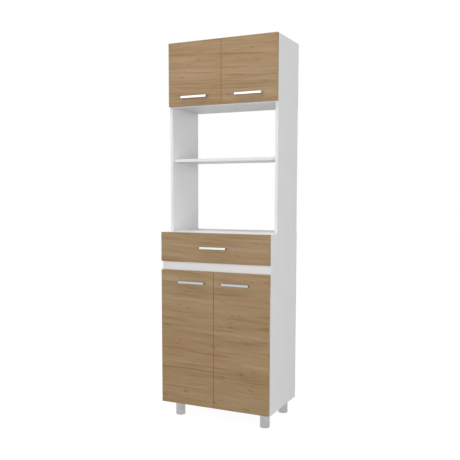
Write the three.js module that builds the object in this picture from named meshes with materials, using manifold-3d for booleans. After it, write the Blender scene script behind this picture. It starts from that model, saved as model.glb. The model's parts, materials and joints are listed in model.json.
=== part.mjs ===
// Tall kitchen cabinet for a small appliance: a base with two doors and a drawer, an open hutch with
// one shelf, and a two-door cupboard at the top. Millimetres, +Z up, and the front faces -Y.
// Inside the cabinet group x is centred, y = 0 is the front edge of the base's side boards, and
// z = 0 is their lower edge.
import * as THREE from 'three';
import { mergeVertices } from 'three/addons/utils/BufferGeometryUtils.js';
import Module from 'manifold-3d';

const wasm = await Module();
wasm.setup();

// Boards
const cabinetWidth = 600;
const board = 15;
const backSheet = 4;

// Base cabinet
const baseHeight = 899;
const baseDepth = 375;
const drawerFrontHeight = 150;
const railShown = 44;
const bottomEdgeShown = 5;
const railOverlap = 15;

// Hutch and cupboard
const hutchDepth = 288;
const applianceBayHeight = 362;
const openBayHeight = 263;
const cupboardHeight = 327;
const hutchShelfSetback = 15;
const hutchShelfBackGap = 16;

// Doors
const doorGap = 1.5;
const frontGap = 0.5;

// Adjustable shelf on four pins
const baseShelfRise = 345;
const baseShelfSetback = 20;
const baseShelfPlay = 0.75;
const pinFromEdge = 40;
const pinShank = 2.5;
const pinStub = 4;
const pinReach = 8;

// Legs
const legHeight = 84;
const legRadius = 25;
const legFlangeRadius = 27;
const legFlange = 4;
const legChamfer = 1.5;
const legFromSide = 57;
const legFromFront = 82;
const legFromBack = 27;

// Handles
const handleHeight = 11;
const handleBar = 7;
const handleReach = 17;
const handleRounding = 1.5;
const handleLegCentres = 128;
const handleLegWidth = 10;
const handleOverhang = 8.5;
const cupboardHandleRise = 44;
const baseHandleDrop = 60;
const baseHandleInset = 121;

// Concealed hinges
const cupRadius = 17.5;
const cupDepth = 11.5;
const cupWall = 1.5;
const cupFromEdge = 22.5;
const cupBoreGap = 0.25;
const flangeThickness = 1.25;
const flangeHeight = 60;
const flangeReach = 18.5;
const flangeCorner = 4;
const flangeFromSide = 1;
const baseHingeFromEnd = 100;
const cupboardHingeFromEnd = 75;
const armLift = 3;
const armThickness = 11;
const armWidth = 14;
const armLength = 62;
const noseReach = 6;
const noseInset = 2;
const crankStart = 4;
const crankEnd = 12;
const plateThickness = 3.5;
const plateFront = 24;
const plateLength = 28;
const plateHeight = 52;

// Drawer box
const drawerBoard = 12;
const drawerSheet = 3;
const drawerLift = 3;
const drawerHeadroom = 19;
const drawerBackGap = 25;

// Telescopic slides
const slideWidth = 12.5;
const slideHeight = 45;
const slideSetback = 2;
const slideWall = 1.25;
const slideGap = 0.35;
const slideLipGap = 2;

// Air between a piece of hardware and the board that carries it
const seat = 0.25;

// Places that follow from the sizes
const outside = cabinetWidth / 2;
const inside = outside - board;
const hutchFront = baseDepth - hutchDepth;
const drawerFrontBottom = baseHeight - drawerFrontHeight;
const baseDoorTop = drawerFrontBottom - railShown;
const railTop = drawerFrontBottom + railOverlap;
const hutchShelfBottom = baseHeight + applianceBayHeight;
const cupboardBottom = hutchShelfBottom + board + openBayHeight;
const cabinetTop = cupboardBottom + cupboardHeight;
const cupboardDoorBottom = cupboardBottom + bottomEdgeShown;
const baseShelfFront = baseShelfSetback;
const baseShelfBack = baseDepth - baseShelfSetback;
const drawerOutside = inside - slideWidth;
const drawerInside = drawerOutside - drawerBoard;
const drawerBoxBottom = railTop + drawerLift + drawerSheet;
const drawerBoxTop = baseHeight - board - drawerHeadroom;
const drawerDepth = baseDepth - drawerBackGap;
const drawerBack = drawerDepth - frontGap;
const slideMiddle = (drawerBoxBottom + drawerBoxTop) / 2;
const totalDepth = baseDepth + backSheet + frontGap + board + handleReach;

const LEFT = -1;
const RIGHT = 1;
const SIDES = [['left', LEFT], ['right', RIGHT]];
const ROUND_SEGMENTS = 32;
const SMALL_ROUND_SEGMENTS = 16;

function finish(color, roughness, metalness) {
  return new THREE.MeshStandardMaterial({ color, roughness, metalness });
}

const whiteLaminate = finish(0xdedede, 0.45, 0);
const oakLaminate = finish(0xa28667, 0.5, 0);
const backBoard = finish(0xe4e3df, 0.6, 0);
const satinMetal = finish(0xc6cace, 0.35, 0.9);
const greyPlastic = finish(0xaeaeae, 0.5, 0);
const hingeSteel = finish(0xb8bbbe, 0.3, 0.9);
const slideSteel = finish(0xa9adb0, 0.4, 0.85);
const pinSteel = finish(0xb5b8ba, 0.35, 0.9);

function mesh(name, geometry, material, position = [0, 0, 0]) {
  const piece = new THREE.Mesh(geometry, material);
  piece.name = name;
  piece.position.set(...position);
  return piece;
}

// A board between a low and a high value along each axis. Its corners are those values themselves,
// so boards that share a value meet exactly.
function slab(x, y, z) {
  const geometry = new THREE.BoxGeometry(1, 1, 1);
  const corner = geometry.getAttribute('position');
  const pick = (value, [low, high]) => (value < 0 ? low : high);
  for (let i = 0; i < corner.count; i += 1) {
    corner.setXYZ(i, pick(corner.getX(i), x), pick(corner.getY(i), y), pick(corner.getZ(i), z));
  }
  return geometry;
}

// The stretch from one distance off the centre plane to another, on the left or the right.
function stretch(side, near, far) {
  return [side * near, side * far].sort((a, b) => a - b);
}

// A closed solid that can be cut and joined.
function solid(geometry) {
  const flat = geometry.index ? geometry.toNonIndexed() : geometry;
  const bare = new THREE.BufferGeometry();
  bare.setAttribute('position', flat.getAttribute('position'));
  const merged = mergeVertices(bare, 1e-3);
  return new wasm.Manifold(new wasm.Mesh({
    numProp: 3,
    vertProperties: merged.getAttribute('position').array,
    triVerts: new Uint32Array(merged.index.array),
  }));
}

function geometryOf(manifold) {
  const { vertProperties, triVerts } = manifold.getMesh();
  const geometry = new THREE.BufferGeometry();
  geometry.setAttribute('position', new THREE.BufferAttribute(vertProperties, 3));
  geometry.setIndex(new THREE.BufferAttribute(triVerts, 1));
  geometry.computeVertexNormals();
  return geometry;
}

// A round bar along Y, from one y to another.
function barAlongY(radius, from, to, segments) {
  const bar = new THREE.CylinderGeometry(radius, radius, to - from, segments);
  return bar.translate(0, (from + to) / 2, 0);
}

// An outline drawn in x and z, extruded along Y from one y to another.
function prismAlongY(outline, from, to) {
  const prism = new THREE.ExtrudeGeometry(outline, { depth: to - from, bevelEnabled: false });
  return prism.rotateX(Math.PI / 2).translate(0, to, 0);
}

function polygon(points) {
  return new THREE.Shape(points.map(([x, y]) => new THREE.Vector2(x, y)));
}

// A profile of [radius, height] pairs turned about the Y axis.
function turned(profile, segments) {
  return new THREE.LatheGeometry(profile.map(([r, h]) => new THREE.Vector2(r, h)), segments);
}

function roundedRectangle([left, right], [low, high], radius) {
  const outline = new THREE.Shape();
  outline.moveTo(left + radius, low);
  outline.absarc(right - radius, low + radius, radius, -Math.PI / 2, 0);
  outline.absarc(right - radius, high - radius, radius, 0, Math.PI / 2);
  outline.absarc(left + radius, high - radius, radius, Math.PI / 2, Math.PI);
  outline.absarc(left + radius, low + radius, radius, Math.PI, 1.5 * Math.PI);
  return outline;
}

// ---- Carcass boards ----

function pinPlaces() {
  return [
    ['front', baseShelfFront + pinFromEdge],
    ['back', baseShelfBack - pinFromEdge],
  ];
}

const pinHeight = baseShelfRise - seat - pinStub;

function baseSide(side) {
  let panel = solid(slab(stretch(side, inside, outside), [0, baseDepth], [0, baseHeight]));
  for (const [, y] of pinPlaces()) {
    const bore = new THREE.CylinderGeometry(
      pinShank + seat, pinShank + seat, 2 * (pinReach + seat), SMALL_ROUND_SEGMENTS,
    );
    bore.rotateZ(Math.PI / 2).translate(side * inside, y, pinHeight);
    panel = panel.subtract(solid(bore));
  }
  return geometryOf(panel);
}

function baseBoards() {
  const across = [-inside, inside];
  const group = new THREE.Group();
  for (const [name, side] of SIDES) {
    group.add(mesh(`base_side_${name}`, baseSide(side), whiteLaminate));
  }
  group.add(
    mesh('base_bottom', slab(across, [0, baseDepth], [0, board]), whiteLaminate),
    mesh('worktop', slab(across, [0, baseDepth], [baseHeight - board, baseHeight]), whiteLaminate),
    mesh('front_rail', slab(across, [0, board], [baseDoorTop - railOverlap, railTop]), whiteLaminate),
    mesh('base_back', backSheetBetween(0, baseHeight), backBoard),
  );
  return group;
}

function backSheetBetween(low, high) {
  return slab([-outside, outside], [baseDepth, baseDepth + backSheet], [low, high]);
}

function hutchBoards() {
  const across = [-inside, inside];
  const depth = [hutchFront, baseDepth];
  const shelfDepth = [hutchFront + hutchShelfSetback, baseDepth - hutchShelfBackGap];
  const group = new THREE.Group();
  for (const [name, side] of SIDES) {
    const panel = slab(stretch(side, inside, outside), depth, [baseHeight, cabinetTop]);
    group.add(mesh(`hutch_side_${name}`, panel, whiteLaminate));
  }
  const level = (bottom) => [bottom, bottom + board];
  group.add(
    mesh('hutch_shelf', slab(across, shelfDepth, level(hutchShelfBottom)), whiteLaminate),
    mesh('cupboard_bottom', slab(across, depth, level(cupboardBottom)), whiteLaminate),
    mesh('cupboard_top', slab(across, depth, level(cabinetTop - board)), whiteLaminate),
    mesh('cupboard_back', backSheetBetween(cupboardBottom, cabinetTop), backBoard),
  );
  return group;
}

function baseShelf() {
  const reach = inside - baseShelfPlay;
  const level = [baseShelfRise, baseShelfRise + board];
  const group = new THREE.Group();
  const panel = slab([-reach, reach], [baseShelfFront, baseShelfBack], level);
  group.add(mesh('base_shelf', panel, whiteLaminate));
  for (const [name, side] of SIDES) {
    for (const [end, y] of pinPlaces()) {
      group.add(mesh(`shelf_pin_${end}_${name}`, shelfPin(side), pinSteel, [side * inside, y, pinHeight]));
    }
  }
  return group;
}

// A pin with its shank in the side board and its stub under the shelf, centred on the board's face.
function shelfPin(side) {
  const profile = [
    [0, -pinReach], [pinShank, -pinReach], [pinShank, seat],
    [pinStub, seat], [pinStub, pinReach], [0, pinReach],
  ];
  return turned(profile, SMALL_ROUND_SEGMENTS).rotateZ((side * Math.PI) / 2);
}

// ---- Legs ----

function leg() {
  const profile = [
    [0, 0], [legRadius - legChamfer, 0], [legRadius, legChamfer],
    [legRadius, legHeight - legFlange], [legFlangeRadius, legHeight - legFlange],
    [legFlangeRadius, legHeight - seat], [0, legHeight - seat],
  ];
  return turned(profile, ROUND_SEGMENTS).rotateX(Math.PI / 2);
}

function legs() {
  const group = new THREE.Group();
  group.position.z = -legHeight;
  for (const [name, side] of SIDES) {
    const x = side * (outside - legFromSide);
    group.add(mesh(`leg_front_${name}`, leg(), greyPlastic, [x, legFromFront, 0]));
    group.add(mesh(`leg_back_${name}`, leg(), greyPlastic, [x, baseDepth - legFromBack, 0]));
  }
  return group;
}

// ---- Handles ----

// A flat bar on two legs, drawn from above with the legs' ends at y = 0 and the bar towards -Y.
function handle() {
  const half = handleLegCentres / 2 + handleOverhang;
  const front = seat - handleReach;
  const back = front + handleBar;
  const legOuter = (handleLegCentres + handleLegWidth) / 2;
  const legInner = (handleLegCentres - handleLegWidth) / 2;
  const outline = new THREE.Shape();
  outline.moveTo(-legOuter, 0);
  outline.lineTo(-legOuter, back);
  outline.lineTo(-half, back);
  outline.absarc(-half + handleRounding, front + handleRounding, handleRounding, Math.PI, 1.5 * Math.PI);
  outline.absarc(half - handleRounding, front + handleRounding, handleRounding, -Math.PI / 2, 0);
  outline.lineTo(half, back);
  outline.lineTo(legOuter, back);
  outline.lineTo(legOuter, 0);
  outline.lineTo(legInner, 0);
  outline.lineTo(legInner, back);
  outline.lineTo(-legInner, back);
  outline.lineTo(-legInner, 0);
  const options = { depth: handleHeight, bevelEnabled: false, curveSegments: 6 };
  return new THREE.ExtrudeGeometry(outline, options).translate(0, 0, -handleHeight / 2);
}

function handleAt(name, x, doorBack, z) {
  return mesh(name, handle(), satinMetal, [x, doorBack - board - seat, z]);
}

// ---- Doors and their hinges ----

// The cup, its rim and its screw flange, centred on the cup at the door's back face. The rim is cut
// level with the door where the side board's edge faces it.
function hingeCup(side) {
  const inward = -side;
  const top = seat + flangeThickness;
  const flangeStart = board + flangeFromSide - cupFromEdge;
  const across = stretch(inward, flangeStart, flangeReach);
  const flange = roundedRectangle(across, [-flangeHeight / 2, flangeHeight / 2], flangeCorner);
  const hollow = barAlongY(cupRadius - cupWall, cupWall - cupDepth, 2 * top, ROUND_SEGMENTS);
  const edge = stretch(inward, -2 * cupRadius, flangeStart);
  const relief = slab(edge, [0, 2 * top], [-flangeHeight, flangeHeight]);
  return geometryOf(
    solid(barAlongY(cupRadius, -cupDepth, top, ROUND_SEGMENTS))
      .add(solid(prismAlongY(flange, seat, top)))
      .subtract(solid(hollow))
      .subtract(solid(relief)),
  );
}

// The arm on its mounting plate, drawn from above: x runs inwards from the side board's face and y
// back from its front edge. The nose cranks forward into the open cup.
function hingeArm(side) {
  const inward = -side;
  const armFace = armLift + armThickness;
  const arm = polygon([
    [armLift + noseInset, -noseReach],
    [armFace - noseInset, -noseReach],
    [armFace, crankStart],
    [armFace, armLength],
    [armLift, armLength],
    [armLift, crankEnd],
    [armLift + noseInset, crankStart],
  ].map(([x, y]) => [inward * x, y]));
  const bar = new THREE.ExtrudeGeometry(arm, { depth: armWidth, bevelEnabled: false });
  bar.translate(0, 0, -armWidth / 2);
  const across = stretch(inward, seat, plateThickness);
  const plate = slab(
    across, [plateFront, plateFront + plateLength], [-plateHeight / 2, plateHeight / 2],
  );
  return geometryOf(solid(bar).add(solid(plate)));
}

// One door with its two hinges and its handle. doorBack is the y of the door's back face and
// carcassFront the y of the side board's front edge behind it.
function door({ name, side, low, high, carcassFront, hingeFromEnd, handleX, handleZ }) {
  const doorBack = carcassFront - frontGap;
  const cupX = side * (outside - cupFromEdge);
  const hinges = [['bottom', low + hingeFromEnd], ['top', high - hingeFromEnd]];
  const depth = [doorBack - board, doorBack];
  let panel = solid(slab(stretch(side, doorGap / 2, outside), depth, [low, high]));
  for (const [, z] of hinges) {
    const radius = cupRadius + cupBoreGap;
    const bore = barAlongY(radius, -cupDepth - cupBoreGap, cupDepth, ROUND_SEGMENTS);
    panel = panel.subtract(solid(bore.translate(cupX, doorBack, z)));
  }
  const group = new THREE.Group();
  group.add(mesh(`${name}_door`, geometryOf(panel), oakLaminate));
  for (const [end, z] of hinges) {
    const arm = hingeArm(side);
    group.add(mesh(`${name}_hinge_${end}_cup`, hingeCup(side), hingeSteel, [cupX, doorBack, z]));
    group.add(mesh(`${name}_hinge_${end}_arm`, arm, hingeSteel, [side * inside, carcassFront, z]));
  }
  group.add(handleAt(`${name}_handle`, handleX, doorBack, handleZ));
  return group;
}

function doors() {
  const group = new THREE.Group();
  for (const [name, side] of SIDES) {
    group.add(door({
      name: `base_${name}`,
      side,
      low: bottomEdgeShown,
      high: baseDoorTop,
      carcassFront: 0,
      hingeFromEnd: baseHingeFromEnd,
      handleX: side * (doorGap / 2 + baseHandleInset),
      handleZ: baseDoorTop - baseHandleDrop,
    }));
    group.add(door({
      name: `cupboard_${name}`,
      side,
      low: cupboardDoorBottom,
      high: cabinetTop,
      carcassFront: hutchFront,
      hingeFromEnd: cupboardHingeFromEnd,
      handleX: (side * (doorGap / 2 + outside)) / 2,
      handleZ: cupboardDoorBottom + cupboardHandleRise,
    }));
  }
  return group;
}

// ---- Drawer and its slides ----

function drawer() {
  const depth = [-frontGap, drawerBack];
  const height = [drawerBoxBottom, drawerBoxTop];
  const between = [-drawerInside, drawerInside];
  const face = slab(
    [-outside, outside], [-frontGap - board, -frontGap], [drawerFrontBottom, baseHeight],
  );
  const sheet = slab([-drawerOutside, drawerOutside], depth, [drawerBoxBottom - drawerSheet, drawerBoxBottom]);
  const innerFront = slab(between, [-frontGap, drawerBoard - frontGap], height);
  const back = slab(between, [drawerBack - drawerBoard, drawerBack], height);
  const group = new THREE.Group();
  group.add(
    mesh('drawer_front', face, oakLaminate),
    mesh('drawer_inner_front', innerFront, whiteLaminate),
    mesh('drawer_back', back, whiteLaminate),
    mesh('drawer_bottom', sheet, backBoard),
    handleAt('drawer_handle', 0, -frontGap, drawerFrontBottom + drawerFrontHeight / 2),
  );
  for (const [name, side] of SIDES) {
    const panel = slab(stretch(side, drawerInside, drawerOutside), depth, height);
    group.add(mesh(`drawer_side_${name}`, panel, whiteLaminate));
  }
  return group;
}

// A C-shaped rail with its web at one x and its lips at another.
function channel(web, lip, halfHeight) {
  const wall = Math.sign(lip - web) * slideWall;
  const inner = halfHeight - slideWall;
  const points = [
    [web, -halfHeight], [lip, -halfHeight], [lip, -inner], [web + wall, -inner],
    [web + wall, inner], [lip, inner], [lip, halfHeight], [web, halfHeight],
  ];
  const outline = polygon(points.map(([x, z]) => [x, slideMiddle + z]));
  return prismAlongY(outline, slideSetback, slideSetback + drawerDepth);
}

// Three nested rails a side: one on the cabinet, one on the drawer, and one between that runs half
// as far as the drawer.
function slides() {
  const step = slideWall + slideGap;
  const group = new THREE.Group();
  for (const [name, side] of SIDES) {
    const rails = {
      cabinet: [inside, drawerOutside + slideLipGap, slideHeight / 2],
      middle: [inside - step, drawerOutside + slideWall, slideHeight / 2 - step],
      drawer: [drawerOutside, inside - 2 * step, slideHeight / 2 - 2 * step],
    };
    for (const [rail, [web, lip, halfHeight]] of Object.entries(rails)) {
      const shape = channel(side * web, side * lip, halfHeight);
      group.add(mesh(`slide_${name}_${rail}_rail`, shape, slideSteel));
    }
  }
  return group;
}

const cabinet = new THREE.Group();
cabinet.position.set(0, totalDepth / 2 - baseDepth - backSheet, legHeight);
cabinet.add(baseBoards(), hutchBoards(), baseShelf(), legs(), doors(), drawer(), slides());

const part = new THREE.Group();
part.add(cabinet);

export default part;
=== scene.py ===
import json
import math

import bmesh
import bpy
from mathutils import Matrix, Vector

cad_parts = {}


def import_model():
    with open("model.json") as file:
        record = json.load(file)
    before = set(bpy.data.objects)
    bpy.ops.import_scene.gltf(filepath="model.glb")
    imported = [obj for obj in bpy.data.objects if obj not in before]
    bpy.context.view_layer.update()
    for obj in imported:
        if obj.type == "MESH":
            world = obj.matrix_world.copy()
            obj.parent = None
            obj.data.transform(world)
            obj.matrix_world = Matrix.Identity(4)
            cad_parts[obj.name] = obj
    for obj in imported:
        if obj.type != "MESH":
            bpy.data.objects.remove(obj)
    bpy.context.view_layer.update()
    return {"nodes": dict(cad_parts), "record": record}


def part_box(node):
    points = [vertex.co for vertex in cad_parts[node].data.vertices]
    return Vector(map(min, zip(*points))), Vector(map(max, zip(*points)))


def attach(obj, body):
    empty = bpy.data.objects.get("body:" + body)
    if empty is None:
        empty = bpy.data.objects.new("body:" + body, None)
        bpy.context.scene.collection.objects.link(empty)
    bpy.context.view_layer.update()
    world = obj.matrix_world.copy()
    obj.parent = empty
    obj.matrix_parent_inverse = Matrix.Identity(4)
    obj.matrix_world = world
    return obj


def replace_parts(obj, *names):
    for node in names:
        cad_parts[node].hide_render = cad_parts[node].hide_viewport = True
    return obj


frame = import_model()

MM = 0.001
X, Y, Z = 0, 1, 2

RECORD = frame["record"]
BODY_OF = {node: body for body, nodes in RECORD["behaviour"]["bodies"].items() for node in nodes}
SLOT_OF = {part["node"]: part["material_slot"] for part in RECORD["subparts"]}

# The photograph's camera
IMAGE_SIDE = 460
FOCAL_LENGTH_PIXELS = 676.24
PRINCIPAL_POINT = (214.465, 256.178)
CAMERA_PLACE = (1.4719, -3.2124, 1.1751)
CAMERA_YAW = 25.868
CAMERA_PITCH = -5.2
SENSOR_WIDTH = 36

# Edges
BOARD_ROUNDING = 0.8 * MM
DOOR_ROUNDING = 0.5 * MM
SHEET_ROUNDING = 0.3 * MM
METAL_ROUNDING = 0.35 * MM
HANDLE_ROUNDING = 0.6 * MM
RAIL_ROUNDING = 0.25 * MM
ROUNDING_STEPS = 3
FINE_ROUNDING_STEPS = 2
SHARP_ANGLE = math.radians(50)
SMOOTH_ANGLE = math.radians(35)
FLAT_ANGLE = math.radians(0.5)
WELD_DISTANCE = 0.005 * MM
AXIS_ALIGNED = 0.99

# Hinges
CUP_RADIUS = 17.5 * MM
CUP_DEPTH = 11.5 * MM
CUP_BORE_GAP = 0.25 * MM
CUP_SCREW_SPREAD = 24 * MM
CUP_SCREW_INWARD = 9.5 * MM
HINGE_PLATE = 3.25 * MM
PLATE_SCREW_SPREAD = 16 * MM
PLATE_SCREW_BACK = 43 * MM
ARM_SCREWS_BACK = (24 * MM, 50 * MM)

# Handles, drawer and slides
HANDLE_LEG_CENTRES = 128 * MM
DRAWER_SCREW_ACROSS = 200 * MM
DRAWER_SCREW_UP = 25 * MM
SLIDE_WEB = 1.25 * MM
SLIDE_SCREWS_BACK = (35 * MM, 180 * MM, 320 * MM)

# Legs
LEG_FLANGE_OVERHANG = 2 * MM
LEG_FLANGE = 4 * MM
LEG_FLANGE_ROUNDING = 0.4 * MM
LEG_FILLET_OUT = 0.5 * MM
LEG_FILLET_DOWN = 0.6 * MM
LEG_FOOT_BEVEL = 1.5 * MM

# Nails, and the radius and height of each kind of screw head
NAIL_SPACING = 110 * MM
NAIL_FROM_EDGE = 8 * MM
NAIL_HEAD = 0.3 * MM
NAIL_RADIUS = 2.2 * MM
HINGE_SCREW = (3.6 * MM, 1.5 * MM)
HANDLE_SCREW = (4.2 * MM, 2.0 * MM)
DRAWER_SCREW = (3.6 * MM, 1.8 * MM)
SLIDE_SCREW = (3.4 * MM, 1.2 * MM)
LEG_SCREW = (6.5 * MM, 2.6 * MM)
SCREW_RIM = 0.35
SCREW_DOME_STEPS = 6
RECESS_REACH = 0.55
RECESS_WIDTH = 0.13

# Oak: how far the grain wanders and falls, and how strongly its bands, lines and knots show
OAK_WANDER = 0.04
OAK_FALL = 0.04
OAK_BAND_SHARE = 0.55
OAK_LINE_STRENGTH = 0.55
OAK_KNOT_STRENGTH = 0.55
OAK_KNOT_SLANT = math.radians(-14)

# The fineness of turned shapes
TURNED_SEGMENTS = 48
LEG_SEGMENTS = 64
SCREW_SEGMENTS = 24
NAIL_SEGMENTS = 16

# Floor and light
FLOOR_HALF = 14
FLOOR_WHITE_SHARE = 0.65
FLOOR_WHITE = 1.43
FLOOR_REFLECTANCE = 0.5
HORIZON_LIGHT = 0.9
OVERHEAD_LIGHT = 0.1


# ---- Mesh helpers ----

def mesh_of(node):
    """A CAD node's solid as a bmesh with shared corners and whole flat faces."""
    shape = bmesh.new()
    shape.from_mesh(frame["nodes"][node].data)
    bmesh.ops.remove_doubles(shape, verts=shape.verts, dist=WELD_DISTANCE)
    bmesh.ops.dissolve_limit(
        shape, angle_limit=FLAT_ANGLE, verts=shape.verts, edges=shape.edges,
    )
    return shape


def piece(name, shape, body, slot, *materials, weighted=True):
    """An object that rides on a body. weighted shades its rounded edges smooth between flat faces;
    without it the shape is smooth but for its sharp angles."""
    mesh = bpy.data.meshes.new(name)
    shape.to_mesh(mesh)
    shape.free()
    for material in materials:
        mesh.materials.append(material)
    mesh.polygons.foreach_set("use_smooth", [True] * len(mesh.polygons))
    made = bpy.data.objects.new(name, mesh)
    bpy.context.scene.collection.objects.link(made)
    if weighted:
        made.modifiers.new("flat faces", "WEIGHTED_NORMAL").weight = 100
    else:
        mesh.set_sharp_from_angle(angle=SMOOTH_ANGLE)
    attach(made, body)
    return made


def stand_for(node, name, shape, *materials, weighted=True):
    """A piece that takes a CAD node's place."""
    made = piece(name, shape, BODY_OF[node], SLOT_OF[node], *materials, weighted=weighted)
    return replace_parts(made, node)


def rounded_steel(node, material, rounding=METAL_ROUNDING):
    """A piece with a CAD node's own shape, its sharp edges rounded."""
    shape = mesh_of(node)
    round_edges(shape, sharp_edges(shape), rounding, FINE_ROUNDING_STEPS)
    stand_for(node, f"{node}_steel", shape, material, weighted=False)


def sharp_edges(shape):
    return [e for e in shape.edges if e.is_manifold and e.calc_face_angle(0) > SHARP_ANGLE]


def round_edges(shape, edges, radius, steps=ROUNDING_STEPS):
    bmesh.ops.bevel(
        shape, geom=edges, offset=radius, segments=steps, profile=0.5, affect="EDGES",
        clamp_overlap=True,
    )


def block(low, high):
    """A box between two corners."""
    shape = bmesh.new()
    bmesh.ops.create_cube(shape, size=1)
    low, high = Vector(low), Vector(high)
    bmesh.ops.scale(shape, vec=high - low, verts=shape.verts)
    bmesh.ops.translate(shape, vec=(low + high) / 2, verts=shape.verts)
    return shape


def turned(profile, segments=TURNED_SEGMENTS):
    """A closed profile of (radius, height) points turned about the Z axis."""
    shape = bmesh.new()
    rings = []
    for radius, height in profile:
        if radius == 0:
            rings.append([shape.verts.new((0, 0, height))])
            continue
        angles = [2 * math.pi * i / segments for i in range(segments)]
        points = [(radius * math.cos(a), radius * math.sin(a), height) for a in angles]
        rings.append([shape.verts.new(point) for point in points])
    for lower, upper in zip(rings, rings[1:]):
        for i in range(segments):
            j = (i + 1) % segments
            if len(lower) == 1:
                shape.faces.new((lower[0], upper[j], upper[i]))
            elif len(upper) == 1:
                shape.faces.new((lower[i], lower[j], upper[0]))
            else:
                shape.faces.new((lower[i], lower[j], upper[j], upper[i]))
    bmesh.ops.recalc_face_normals(shape, faces=shape.faces)
    return shape


def cut(shape, cutters):
    """shape with each cutter taken out of it."""
    scene = bpy.context.scene
    mesh = bpy.data.meshes.new("cut")
    shape.to_mesh(mesh)
    shape.free()
    whole = bpy.data.objects.new("cut", mesh)
    scene.collection.objects.link(whole)
    tools = []
    for cutter in cutters:
        tool_mesh = bpy.data.meshes.new("cutter")
        cutter.to_mesh(tool_mesh)
        cutter.free()
        tool = bpy.data.objects.new("cutter", tool_mesh)
        scene.collection.objects.link(tool)
        tools.append(tool)
        modifier = whole.modifiers.new("cut", "BOOLEAN")
        modifier.operation = "DIFFERENCE"
        modifier.solver = "EXACT"
        modifier.object = tool
    bpy.context.view_layer.update()
    depsgraph = bpy.context.evaluated_depsgraph_get()
    result = bmesh.new()
    result.from_mesh(whole.evaluated_get(depsgraph).to_mesh())
    for item in [whole, *tools]:
        bpy.data.objects.remove(item)
    return result


def joined(template, places):
    """Copies of a mesh, one at each matrix, in one bmesh."""
    mesh = bpy.data.meshes.new("copy")
    template.to_mesh(mesh)
    template.free()
    shape = bmesh.new()
    for place in places:
        first = len(shape.verts)
        shape.from_mesh(mesh)
        shape.verts.ensure_lookup_table()
        bmesh.ops.transform(shape, matrix=place, verts=shape.verts[first:])
    bpy.data.meshes.remove(mesh)
    return shape


def facing(point, direction):
    """The place of a copy drawn along +Z that sits at a point and faces a direction."""
    turn = Vector((0, 0, 1)).rotation_difference(Vector(direction)).to_matrix().to_4x4()
    return Matrix.Translation(Vector(point)) @ turn


# ---- Material helpers ----

class Surface:
    """A material being made: a Principled shader, and short ways to add the nodes before it."""

    def __init__(self, name, roughness, metallic=0.0):
        self.material = bpy.data.materials.new(name)
        self.material.use_nodes = True
        self.tree = self.material.node_tree
        self.shader = self.tree.nodes["Principled BSDF"]
        self.shader.inputs["Roughness"].default_value = roughness
        self.shader.inputs["Metallic"].default_value = metallic
        self.place = self.add("ShaderNodeTexCoord").outputs["Object"]

    def add(self, kind, inputs=(), **settings):
        """A node with its inputs linked or set, and its other settings."""
        made = self.tree.nodes.new(kind)
        for name, value in settings.items():
            setattr(made, name, value)
        for socket, value in dict(inputs).items():
            if isinstance(value, bpy.types.NodeSocket):
                self.tree.links.new(value, made.inputs[socket])
            else:
                made.inputs[socket].default_value = value
        return made

    def stretched(self, scale, shift=(0, 0, 0), source=None):
        """The object's coordinates, or another vector, times a scale for each axis, and shifted."""
        inputs = {"Vector": source or self.place, "Scale": scale, "Location": shift}
        return self.add("ShaderNodeMapping", inputs).outputs["Vector"]

    def noise(self, vector, scale=1.0, detail=2.0, roughness=0.5):
        inputs = {"Vector": vector, "Scale": scale, "Detail": detail, "Roughness": roughness}
        return self.add("ShaderNodeTexNoise", inputs).outputs["Fac"]

    def math(self, operation, a, b=0.0, c=0.0):
        return self.add("ShaderNodeMath", {0: a, 1: b, 2: c}, operation=operation).outputs[0]

    def between(self, value, low, high, to_low=0.0, to_high=1.0):
        """A value from one range eased into another."""
        inputs = {
            "Value": value, "From Min": low, "From Max": high, "To Min": to_low, "To Max": to_high,
        }
        made = self.add("ShaderNodeMapRange", inputs, interpolation_type="SMOOTHSTEP")
        return made.outputs["Result"]

    def ramp(self, value, *stops):
        """Colours at places along a value."""
        made = self.add("ShaderNodeValToRGB", {"Fac": value})
        elements = made.color_ramp.elements
        while len(elements) < len(stops):
            elements.new(1.0)
        for element, (position, color) in zip(elements, stops):
            element.position = position
            element.color = linear(color)
        return made.outputs["Color"]

    def mix(self, share, first, second, blend="MIX"):
        made = self.add("ShaderNodeMix", data_type="RGBA", blend_type=blend)
        # The Mix node has its share at input 0, and its two colours at 6 and 7.
        for index, value in ((0, share), (6, first), (7, second)):
            if isinstance(value, bpy.types.NodeSocket):
                self.tree.links.new(value, made.inputs[index])
            else:
                made.inputs[index].default_value = value
        return made.outputs[2]

    def red(self, color):
        """The red channel of a colour, as a random value for each cell."""
        return self.add("ShaderNodeSeparateColor", {"Color": color}).outputs["Red"]

    def color(self, socket):
        self.tree.links.new(socket, self.shader.inputs["Base Color"])

    def roughness(self, socket):
        self.tree.links.new(socket, self.shader.inputs["Roughness"])

    def bump(self, height, distance, strength=1.0):
        inputs = {"Height": height, "Distance": distance, "Strength": strength}
        made = self.add("ShaderNodeBump", inputs)
        self.tree.links.new(made.outputs["Normal"], self.shader.inputs["Normal"])


def linear(color):
    """A colour written as 0 to 255 screen values, as the linear colour that a shader takes."""
    def channel(value):
        share = value / 255
        return share / 12.92 if share <= 0.04045 else ((share + 0.055) / 1.055) ** 2.4
    return (*(channel(value) for value in color), 1.0)


# ---- Materials ----

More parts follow.
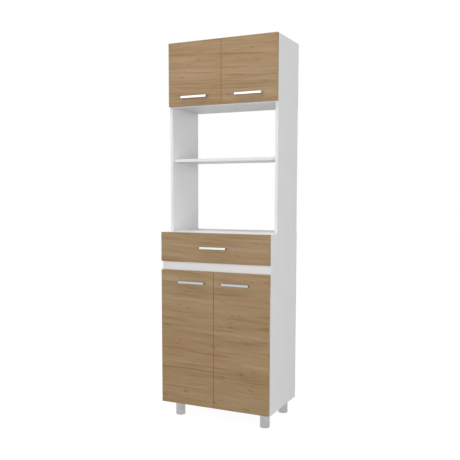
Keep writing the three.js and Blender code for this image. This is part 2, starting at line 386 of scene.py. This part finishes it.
def white_laminate(name, color, roughness=0.42):
    """Melamine foil with a faint pearl texture, and the slight cloudiness of pressed board."""
    surface = Surface(name, roughness)
    cloud = surface.noise(surface.place, scale=7, detail=3)
    shade = tuple(value - 3 for value in color)
    surface.color(surface.ramp(cloud, (0.3, shade), (0.7, color)))
    pearl = surface.noise(surface.place, scale=900, detail=2)
    surface.roughness(surface.between(pearl, 0.3, 0.7, roughness - 0.04, roughness + 0.05))
    surface.bump(pearl, 0.05 * MM, 0.22)
    return surface.material


def oak_laminate(name, shift, along="x"):
    """Light oak foil. The grain runs along one axis, with soft bands, fine streaks, growth lines,
    and small knots and flecks. shift gives each use its own part of the pattern."""
    surface = Surface(name, 0.48)
    source = surface.place
    if along == "z":
        source = surface.add("ShaderNodeVectorRotate", {
            "Vector": source, "Angle": math.radians(90),
        }, rotation_type="Y_AXIS").outputs["Vector"]
    place = surface.stretched((1, 1, 1), shift, source)

    # The grain falls a little along its length, and wanders.
    wander = surface.noise(surface.stretched((1.3, 0.6, 3.4), source=place), detail=2)
    parts = surface.add("ShaderNodeSeparateXYZ", {"Vector": place}).outputs
    drift = surface.math("MULTIPLY_ADD", wander, OAK_WANDER, parts["Z"])
    height = surface.math("MULTIPLY_ADD", parts["X"], OAK_FALL, drift)
    grain = surface.add(
        "ShaderNodeCombineXYZ", {"X": parts["X"], "Y": parts["Y"], "Z": height},
    ).outputs["Vector"]

    bands = surface.noise(surface.stretched((1.4, 1, 24), source=grain), detail=3, roughness=0.55)
    streaks = surface.noise(surface.stretched((5, 4, 95), source=grain), detail=4, roughness=0.62)
    fibres = surface.noise(surface.stretched((22, 30, 620), source=grain), detail=2, roughness=0.6)

    # Growth lines that come and go, at two spacings, each with one crisp side.
    lines = []
    for count, start, soft in ((13, (2, 8, 5), 0.9), (31, (6, 1, 7), 0.84)):
        sway = surface.noise(surface.stretched((0.6, 1, count * 0.7), start, grain), detail=2)
        ring = surface.math("MULTIPLY_ADD", height, count, surface.math("MULTIPLY", sway, 1.8))
        patch = surface.noise(surface.stretched((2.6, 1, count), start[::-1], grain), detail=1)
        line = surface.between(surface.math("FRACT", ring), soft, 0.99)
        lines.append(surface.math("MULTIPLY", line, surface.between(patch, 0.48, 0.6)))
    line_share = surface.math("MAXIMUM", *lines)

    # Slanting knots and smudges, and short flecks along the grain, all with ragged edges.
    ragged = surface.add("ShaderNodeTexNoise", {
        "Vector": surface.stretched((28, 9, 60), source=grain), "Scale": 1.0, "Detail": 3.0,
    }).outputs["Color"]
    warped = surface.add("ShaderNodeVectorMath", {
        0: ragged, 1: (0.03, 0.0, 0.012), 2: grain,
    }, operation="MULTIPLY_ADD").outputs["Vector"]
    slanted = surface.add("ShaderNodeVectorRotate", {
        "Vector": warped, "Angle": OAK_KNOT_SLANT,
    }, rotation_type="Y_AXIS").outputs["Vector"]
    knots = []
    for field, scale, start, size, rarity in (
        (slanted, (11, 3, 24), (3, 5, 2), 0.28, 0.55),
        (warped, (17, 3, 66), (8, 2, 6), 0.30, 0.6),
    ):
        cell = surface.add("ShaderNodeTexVoronoi", {
            "Vector": surface.stretched(scale, start, field), "Scale": 1.0, "Randomness": 1.0,
        }, feature="F1")
        chance = surface.red(cell.outputs["Color"])
        inside = surface.between(cell.outputs["Distance"], size, 0.02)
        present = surface.between(chance, rarity, rarity + 0.2)
        knots.append(surface.math("MULTIPLY", inside, present))
    knot_share = surface.math("MAXIMUM", *knots)

    streak_tone = surface.math("MULTIPLY", streaks, 1 - OAK_BAND_SHARE)
    tone = surface.math("MULTIPLY_ADD", bands, OAK_BAND_SHARE, streak_tone)
    base = surface.ramp(
        tone,
        (0.32, (141, 109, 69)),
        (0.44, (154, 125, 86)),
        (0.54, (161, 133, 97)),
        (0.68, (172, 146, 112)),
    )
    hue = surface.noise(surface.stretched((1.7, 1, 24), (1, 6, 3), grain), detail=3)
    tint = surface.ramp(
        hue, (0.36, (250, 254, 252)), (0.5, (252, 252, 249)), (0.64, (252, 247, 241)),
    )
    tinted = surface.mix(1.0, base, tint, "MULTIPLY")
    line_share = surface.math("MULTIPLY", line_share, OAK_LINE_STRENGTH)
    lined = surface.mix(line_share, tinted, linear((116, 82, 44)))
    knot_share = surface.math("MULTIPLY", knot_share, OAK_KNOT_STRENGTH)
    knotted = surface.mix(knot_share, lined, linear((116, 81, 42)))
    fibre_share = surface.between(fibres, 0.35, 0.62, 0.16, 0.0)
    surface.color(surface.mix(fibre_share, knotted, linear((114, 87, 55))))
    surface.roughness(surface.between(streaks, 0.35, 0.65, 0.48, 0.38))
    relief = surface.math("MULTIPLY_ADD", fibres, 0.7, surface.math("MULTIPLY", streaks, 0.3))
    surface.bump(relief, 0.12 * MM, 0.4)
    return surface.material


def satin_metal():
    """Brushed and lacquered handle metal, with its fine lines along the bar."""
    surface = Surface("handle_satin_metal", 0.15, metallic=1.0)
    brushed = surface.noise(surface.stretched((30, 2200, 2200)), detail=2)
    surface.color(surface.ramp(brushed, (0.3, (188, 191, 194)), (0.7, (195, 198, 201))))
    surface.roughness(surface.between(brushed, 0.3, 0.7, 0.11, 0.2))
    surface.bump(brushed, 0.01 * MM, 0.12)
    return surface.material


def plated_steel(name, color, roughness, scale=160):
    """Plated sheet steel with a slightly uneven gloss and faint rolling marks."""
    surface = Surface(name, roughness, metallic=1.0)
    cloud = surface.noise(surface.place, scale=scale, detail=3)
    shade = tuple(value - 16 for value in color)
    surface.color(surface.ramp(cloud, (0.3, shade), (0.7, color)))
    surface.roughness(surface.between(cloud, 0.3, 0.7, roughness - 0.06, roughness + 0.1))
    marks = surface.noise(surface.stretched((40, 40, 900)), detail=2)
    surface.bump(marks, 0.03 * MM, 0.3)
    return surface.material


def leg_plastic():
    """Moulded plastic with a silver-grey finish and a fine spark-eroded texture."""
    surface = Surface("leg_silver_grey_plastic", 0.3, metallic=0.85)
    cloud = surface.noise(surface.place, scale=25, detail=2)
    surface.color(surface.ramp(cloud, (0.3, (177, 177, 178)), (0.7, (183, 183, 184))))
    grain = surface.noise(surface.place, scale=1300, detail=2)
    surface.roughness(surface.between(grain, 0.3, 0.7, 0.26, 0.36))
    surface.bump(grain, 0.03 * MM, 0.3)
    return surface.material


def raw_hardboard():
    """The unpainted back of a hardboard sheet: brown, clouded, and rough with fine fibres."""
    surface = Surface("back_raw_hardboard", 0.75)
    fibre = surface.noise(surface.place, scale=240, detail=5, roughness=0.7)
    cloud = surface.noise(surface.place, scale=5, detail=3)
    tone = surface.math("MULTIPLY_ADD", fibre, 0.6, surface.math("MULTIPLY", cloud, 0.4))
    surface.color(surface.ramp(
        tone, (0.32, (138, 108, 78)), (0.5, (160, 130, 98)), (0.68, (178, 150, 117)),
    ))
    surface.bump(fibre, 0.15 * MM, 0.6)
    return surface.material


def raw_chipboard():
    """An unbanded edge of chipboard."""
    surface = Surface("board_raw_chipboard", 0.85)
    chips = surface.add(
        "ShaderNodeTexVoronoi", {"Vector": surface.place, "Scale": 420.0}, feature="F1",
    )
    speck = surface.red(chips.outputs["Color"])
    surface.color(surface.ramp(
        speck, (0.0, (139, 108, 74)), (0.5, (181, 148, 107)), (1.0, (208, 180, 141)),
    ))
    surface.bump(chips.outputs["Distance"], 0.3 * MM, 0.7)
    return surface.material


WHITE = white_laminate("board_white_laminate", (228, 228, 228))
WHITE_BAND = white_laminate("board_white_edge_band", (227, 227, 227), 0.36)
# Painted light: a lighter white for the rail and the board edges beside the fronts, set against the
# shade in their recess.
WHITE_PAINTED_LIGHT = white_laminate("rail_white_laminate_painted_light", (236, 236, 236))
WHITE_SHEET = white_laminate("sheet_white_lacquer", (226, 226, 225), 0.5)
OAK_BASE = oak_laminate("oak_laminate_base", (0.0, 0.0, 0.0))
OAK_DRAWER = oak_laminate("oak_laminate_drawer", (5.3, 0.4, 2.7))
OAK_CUPBOARD = oak_laminate("oak_laminate_cupboard", (9.1, 1.3, 6.2))
OAK_BAND = oak_laminate("oak_edge_band", (3.3, 2.1, 4.4), along="z")
METAL = satin_metal()
HINGE_STEEL = plated_steel("hinge_nickel_steel", (196, 197, 198), 0.24)
SLIDE_STEEL = plated_steel("slide_zinc_steel", (178, 182, 184), 0.34)
PIN_STEEL = plated_steel("pin_nickel_steel", (190, 191, 192), 0.28)
SCREW_STEEL = plated_steel("screw_zinc_steel", (186, 187, 186), 0.3, scale=420)
PLASTIC = leg_plastic()
HARDBOARD = raw_hardboard()
CHIPBOARD = raw_chipboard()


# ---- Boards ----

def paint_faces(shape, choose):
    """Sets each face's material from its normal."""
    shape.normal_update()
    for face in shape.faces:
        face.material_index = choose(face.normal)


def board(node, thin_axis, face, band, rounding=BOARD_ROUNDING, cutters=(), raw=None):
    """A laminated board: foil on its two faces and a band on its edges, all with rounded corners.
    raw is a direction in which the edge has no band."""
    low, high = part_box(node)
    shape = block(low, high)
    round_edges(shape, shape.edges[:], rounding)
    if cutters:
        shape = cut(shape, cutters)

    def choose(normal):
        if raw and normal.dot(Vector(raw)) > AXIS_ALIGNED:
            return 2
        return 0 if abs(normal[thin_axis]) > AXIS_ALIGNED else 1

    paint_faces(shape, choose)
    return stand_for(node, f"{node}_board", shape, face, band, CHIPBOARD)


def carcass():
    """The fixed boards. The rail and the edges next to the fronts get a lighter white as painted
    light, lifting the shade of the recess between the fronts.
    """
    for side in ("left", "right"):
        board(f"base_side_{side}", X, WHITE, WHITE_PAINTED_LIGHT, raw=(0, 0, -1))
        board(f"hutch_side_{side}", X, WHITE, WHITE_BAND)
    for node in ("base_bottom", "worktop", "hutch_shelf", "cupboard_top", "base_shelf"):
        board(node, Z, WHITE, WHITE_BAND)
    # Its front edge band carries painted light: a lighter white against the shade under the
    # cupboard doors.
    board("cupboard_bottom", Z, WHITE, WHITE_PAINTED_LIGHT)
    board("front_rail", Y, WHITE_PAINTED_LIGHT, WHITE_BAND)


def back_sheets():
    """White towards the inside and bare hardboard towards the wall, nailed round the edges."""
    for node in ("base_back", "cupboard_back"):
        low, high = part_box(node)
        high.y -= NAIL_HEAD
        shape = block(low, high)
        round_edges(shape, shape.edges[:], SHEET_ROUNDING)
        paint_faces(shape, lambda normal: 1 if normal.y > AXIS_ALIGNED else 0)
        stand_for(node, f"{node}_sheet", shape, WHITE_SHEET, HARDBOARD)
        places = nail_places(low, high)
        piece(f"{node}_nails", joined(nail_head(), places), "cabinet", "pin_steel", SCREW_STEEL)


def spread(first, last, spacing):
    """Evenly spaced values from first to last, about spacing apart."""
    count = max(1, round((last - first) / spacing))
    return [first + (last - first) * i / count for i in range(count + 1)]


def nail_places(low, high):
    left, right = low.x + NAIL_FROM_EDGE, high.x - NAIL_FROM_EDGE
    bottom, top = low.z + NAIL_FROM_EDGE, high.z - NAIL_FROM_EDGE
    points = [(x, z) for x in spread(left, right, NAIL_SPACING) for z in (bottom, top)]
    points += [(x, z) for z in spread(bottom, top, NAIL_SPACING)[1:-1] for x in (left, right)]
    return [facing((x, high.y, z), (0, 1, 0)) for x, z in points]


def nail_head():
    """A low head, drawn along +Z, whose lower half lies in the sheet."""
    return turned([
        (0, -NAIL_HEAD), (NAIL_RADIUS, -NAIL_HEAD), (NAIL_RADIUS, NAIL_HEAD / 3),
        (NAIL_RADIUS / 2, NAIL_HEAD), (0, NAIL_HEAD),
    ], NAIL_SEGMENTS)


# ---- Doors and drawer ----

def cup_bores(name, door):
    """The two blind bores for the hinge cups, as cutters."""
    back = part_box(door)[1].y
    radius, depth = CUP_RADIUS + CUP_BORE_GAP, CUP_DEPTH + CUP_BORE_GAP
    bores = []
    for end in ("bottom", "top"):
        centre = cup_centre(name, end)
        bore = turned([(0, -depth), (radius, -depth), (radius, depth), (0, depth)])
        place = facing((centre.x, back, centre.z), (0, 1, 0))
        bmesh.ops.transform(bore, matrix=place, verts=bore.verts)
        bores.append(bore)
    return bores


def cup_centre(name, end):
    """The centre of a hinge cup, whose round side is the one nearer to the cabinet's side."""
    low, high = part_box(f"{name}_hinge_{end}_cup")
    x = low.x + CUP_RADIUS if low.x < 0 else high.x - CUP_RADIUS
    return Vector((x, high.y, (low.z + high.z) / 2))


def doors():
    for group, oak in (("base", OAK_BASE), ("cupboard", OAK_CUPBOARD)):
        for side in ("left", "right"):
            name = f"{group}_{side}"
            door = f"{name}_door"
            board(door, Y, oak, OAK_BAND, DOOR_ROUNDING, cup_bores(name, door))
            hinges(name)
            handle(f"{name}_handle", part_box(door)[1].y)


def handle(node, back):
    """The bar with its long edges rounded, and its two screws' heads on the back of the panel."""
    shape = mesh_of(node)
    round_edges(shape, sharp_edges(shape), HANDLE_ROUNDING)
    stand_for(node, f"{node}_bar", shape, METAL)
    low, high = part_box(node)
    middle = (low + high) / 2
    places = [
        facing((middle.x + side * HANDLE_LEG_CENTRES / 2, back, middle.z), (0, 1, 0))
        for side in (-1, 1)
    ]
    screws(f"{node}_screws", BODY_OF[node], HANDLE_SCREW, places)


def screws(name, body, kind, places):
    """The heads of a group of screws, in one piece."""
    heads = joined(screw_head(*kind), places)
    piece(name, heads, body, "pin_steel", SCREW_STEEL, weighted=False)


def screw_head(radius, height):
    """A pan head with a cross recess, drawn along +Z."""
    rim = height * SCREW_RIM
    profile = [(0, 0), (radius, 0), (radius, rim)]
    for step in range(1, SCREW_DOME_STEPS):
        angle = math.radians(90) * step / SCREW_DOME_STEPS
        profile.append((radius * math.cos(angle), rim + (height - rim) * math.sin(angle)))
    profile.append((0, height))
    head = turned(profile, SCREW_SEGMENTS)
    half, width = radius * RECESS_REACH, radius * RECESS_WIDTH
    deep, over = rim, height * 2
    arms = [
        block((-half, -width, deep), (half, width, over)),
        block((-width, -half, deep), (width, half, over)),
    ]
    return cut(head, arms)


def hinges(name):
    """A door's two hinges. A cup has two screws in its flange, and an arm has two in its plate and
    two on its top."""
    inward = 1 if name.endswith("left") else -1
    cup_screws = []
    arm_screws = []
    for end in ("bottom", "top"):
        for kind in ("cup", "arm"):
            rounded_steel(f"{name}_hinge_{end}_{kind}", HINGE_STEEL)
        centre = cup_centre(name, end)
        low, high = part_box(f"{name}_hinge_{end}_arm")
        plate_face = low.x + HINGE_PLATE if inward > 0 else high.x - HINGE_PLATE
        arm_face = high.x if inward > 0 else low.x
        for step in (-1, 1):
            x = centre.x + inward * CUP_SCREW_INWARD
            z = centre.z + step * CUP_SCREW_SPREAD
            cup_screws.append(facing((x, centre.y, z), (0, 1, 0)))
            z = centre.z + step * PLATE_SCREW_SPREAD
            arm_screws.append(facing((plate_face, low.y + PLATE_SCREW_BACK, z), (inward, 0, 0)))
        for back in ARM_SCREWS_BACK:
            arm_screws.append(facing((arm_face, low.y + back, centre.z), (inward, 0, 0)))
    screws(f"{name}_hinge_cup_screws", BODY_OF[f"{name}_door"], HINGE_SCREW, cup_screws)
    screws(f"{name}_hinge_arm_screws", "cabinet", HINGE_SCREW, arm_screws)


def drawer():
    board("drawer_front", Y, OAK_DRAWER, OAK_BAND, DOOR_ROUNDING)
    for node in ("drawer_inner_front", "drawer_back"):
        board(node, Y, WHITE, WHITE_BAND)
    for node in ("drawer_side_left", "drawer_side_right"):
        board(node, X, WHITE, WHITE_BAND)
    board("drawer_bottom", Z, WHITE_SHEET, WHITE_SHEET, SHEET_ROUNDING)
    low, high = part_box("drawer_inner_front")
    handle("drawer_handle", high.y)
    middle = (low.z + high.z) / 2
    places = [
        facing((x, high.y, middle + z), (0, 1, 0))
        for x in (-DRAWER_SCREW_ACROSS, DRAWER_SCREW_ACROSS)
        for z in (-DRAWER_SCREW_UP, DRAWER_SCREW_UP)
    ]
    screws("drawer_front_screws", "drawer", DRAWER_SCREW, places)


def slides():
    for side in ("left", "right"):
        for rail in ("cabinet", "middle", "drawer"):
            rounded_steel(f"slide_{side}_{rail}_rail", SLIDE_STEEL, RAIL_ROUNDING)
        low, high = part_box(f"slide_{side}_drawer_rail")
        outward = -1 if side == "left" else 1
        web = high.x - SLIDE_WEB if side == "left" else low.x + SLIDE_WEB
        middle = (low.z + high.z) / 2
        places = [
            facing((web, low.y + back, middle), (outward, 0, 0)) for back in SLIDE_SCREWS_BACK
        ]
        screws(f"slide_{side}_screws", "drawer", SLIDE_SCREW, places)


# ---- Legs and pins ----

def leg_profile(flange, tall):
    """Half a leg's outline from its foot up: an eased bevel, the tube, a fillet and the flange."""
    radius = flange - LEG_FLANGE_OVERHANG
    under_flange = tall - LEG_FLANGE
    return [
        (0, 0), (radius - LEG_FOOT_BEVEL, 0),
        (radius - LEG_FOOT_BEVEL * 2 / 3, LEG_FOOT_BEVEL / 5),
        (radius - LEG_FOOT_BEVEL / 5, LEG_FOOT_BEVEL * 2 / 3),
        (radius, LEG_FOOT_BEVEL), (radius, under_flange - LEG_FILLET_DOWN),
        (radius + LEG_FILLET_OUT, under_flange), (flange - LEG_FLANGE_ROUNDING, under_flange),
        (flange, under_flange + LEG_FLANGE_ROUNDING), (flange, tall), (0, tall),
    ]


def legs():
    """Four legs, each held by a screw through the base's bottom board."""
    board_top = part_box("base_bottom")[1].z
    for end in ("front", "back"):
        for side in ("left", "right"):
            node = f"leg_{end}_{side}"
            low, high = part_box(node)
            shape = turned(leg_profile((high.x - low.x) / 2, high.z - low.z), LEG_SEGMENTS)
            at = Vector(((low.x + high.x) / 2, (low.y + high.y) / 2, low.z))
            bmesh.ops.translate(shape, vec=at, verts=shape.verts)
            stand_for(node, f"{node}_tube", shape, PLASTIC, weighted=False)
            place = facing((at.x, at.y, board_top), (0, 0, 1))
            screws(f"{node}_screw", "cabinet", LEG_SCREW, [place])


def shelf_pins():
    for end in ("front", "back"):
        for side in ("left", "right"):
            rounded_steel(f"shelf_pin_{end}_{side}", PIN_STEEL)


# ---- Floor, light and camera ----

def background_rays(tree):
    """1 for a ray that sees the background straight, in a reflection or through glass."""
    path = tree.nodes.new("ShaderNodeLightPath").outputs

    def larger(a, b):
        made = tree.nodes.new("ShaderNodeMath")
        made.operation = "MAXIMUM"
        tree.links.new(a, made.inputs[0])
        tree.links.new(b, made.inputs[1])
        return made.outputs[0]

    return larger(larger(path["Is Camera Ray"], path["Is Glossy Ray"]), path["Is Transmission Ray"])


def floor():
    """A pale floor that keeps the object's shadow, and that background rays see nearly white."""
    shape = bmesh.new()
    corners = [(x * FLOOR_HALF, y * FLOOR_HALF, 0) for x, y in ((-1, -1), (1, -1), (1, 1), (-1, 1))]
    shape.faces.new([shape.verts.new(corner) for corner in corners])
    mesh = bpy.data.meshes.new("floor")
    shape.to_mesh(mesh)
    shape.free()
    made = bpy.data.objects.new("floor", mesh)
    bpy.context.scene.collection.objects.link(made)
    material = bpy.data.materials.new("floor_white")
    material.use_nodes = True
    tree = material.node_tree
    tree.nodes.clear()
    output = tree.nodes.new("ShaderNodeOutputMaterial")
    plain = tree.nodes.new("ShaderNodeBsdfDiffuse")
    plain.inputs["Color"].default_value = (*[FLOOR_REFLECTANCE] * 3, 1)
    white = tree.nodes.new("ShaderNodeEmission")
    white.inputs["Strength"].default_value = FLOOR_WHITE
    blend = tree.nodes.new("ShaderNodeMixShader")
    share = tree.nodes.new("ShaderNodeMath")
    share.operation = "MULTIPLY"
    share.inputs[1].default_value = FLOOR_WHITE_SHARE
    tree.links.new(background_rays(tree), share.inputs[0])
    tree.links.new(share.outputs[0], blend.inputs[0])
    tree.links.new(plain.outputs[0], blend.inputs[1])
    tree.links.new(white.outputs[0], blend.inputs[2])
    tree.links.new(blend.outputs[0], output.inputs["Surface"])
    made.data.materials.append(material)


def world():
    """A white background whose light comes mostly from the sides."""
    made = bpy.data.worlds.new("studio")
    bpy.context.scene.world = made
    made.use_nodes = True
    tree = made.node_tree
    background = tree.nodes["Background"]
    background.inputs["Color"].default_value = (1, 1, 1, 1)
    direction = tree.nodes.new("ShaderNodeTexCoord")
    height = tree.nodes.new("ShaderNodeSeparateXYZ")
    light = tree.nodes.new("ShaderNodeMapRange")
    light.inputs["To Min"].default_value = HORIZON_LIGHT
    light.inputs["To Max"].default_value = OVERHEAD_LIGHT
    strength = tree.nodes.new("ShaderNodeMapRange")
    strength.inputs["To Max"].default_value = 1.0
    tree.links.new(direction.outputs["Generated"], height.inputs["Vector"])
    tree.links.new(height.outputs["Z"], light.inputs["Value"])
    tree.links.new(background_rays(tree), strength.inputs["Value"])
    tree.links.new(light.outputs["Result"], strength.inputs["To Min"])
    tree.links.new(strength.outputs["Result"], background.inputs["Strength"])


def softbox(name, place, target, diameter, power, mirrored=False):
    """A round light. mirrored says that glossy surfaces reflect it."""
    light = bpy.data.lights.new(name, "AREA")
    light.shape = "DISK"
    light.size = diameter
    light.energy = power
    made = bpy.data.objects.new(name, light)
    made.location = place
    aim = Vector(target) - Vector(place)
    made.rotation_euler = aim.to_track_quat("-Z", "Y").to_euler()
    made.visible_camera = False
    made.visible_glossy = mirrored
    bpy.context.scene.collection.objects.link(made)


def lights():
    softbox("key", (-1.7, -4.0, 2.05), (-0.4, 0, 1.9), 3.0, 27, mirrored=True)
    softbox("left", (-1.6, -4.0, 0.8), (0, 0, 1.0), 3.0, 16)
    softbox("right", (3.75, -2.9, 1.05), (0, 0, 1.0), 2.4, 70)
    softbox("above", (0, -0.9, 4.4), (0, -0.2, 1.0), 1.8, 64)


def camera():
    """The photograph's camera, whose optical axis meets the picture off its middle."""
    data = bpy.data.cameras.new("photo_camera")
    data.sensor_width = SENSOR_WIDTH
    data.lens = FOCAL_LENGTH_PIXELS / IMAGE_SIDE * SENSOR_WIDTH
    data.shift_x = (IMAGE_SIDE / 2 - PRINCIPAL_POINT[0]) / IMAGE_SIDE
    data.shift_y = (PRINCIPAL_POINT[1] - IMAGE_SIDE / 2) / IMAGE_SIDE
    made = bpy.data.objects.new("photo_camera", data)
    made.location = CAMERA_PLACE
    made.rotation_euler = (math.radians(90 + CAMERA_PITCH), 0, math.radians(CAMERA_YAW))
    bpy.context.scene.collection.objects.link(made)
    bpy.context.scene.camera = made


camera()
carcass()
back_sheets()
doors()
drawer()
slides()
legs()
shelf_pins()
floor()
world()
lights()
bpy.context.scene.view_settings.view_transform = "Standard"

bpy.context.view_layer.update()
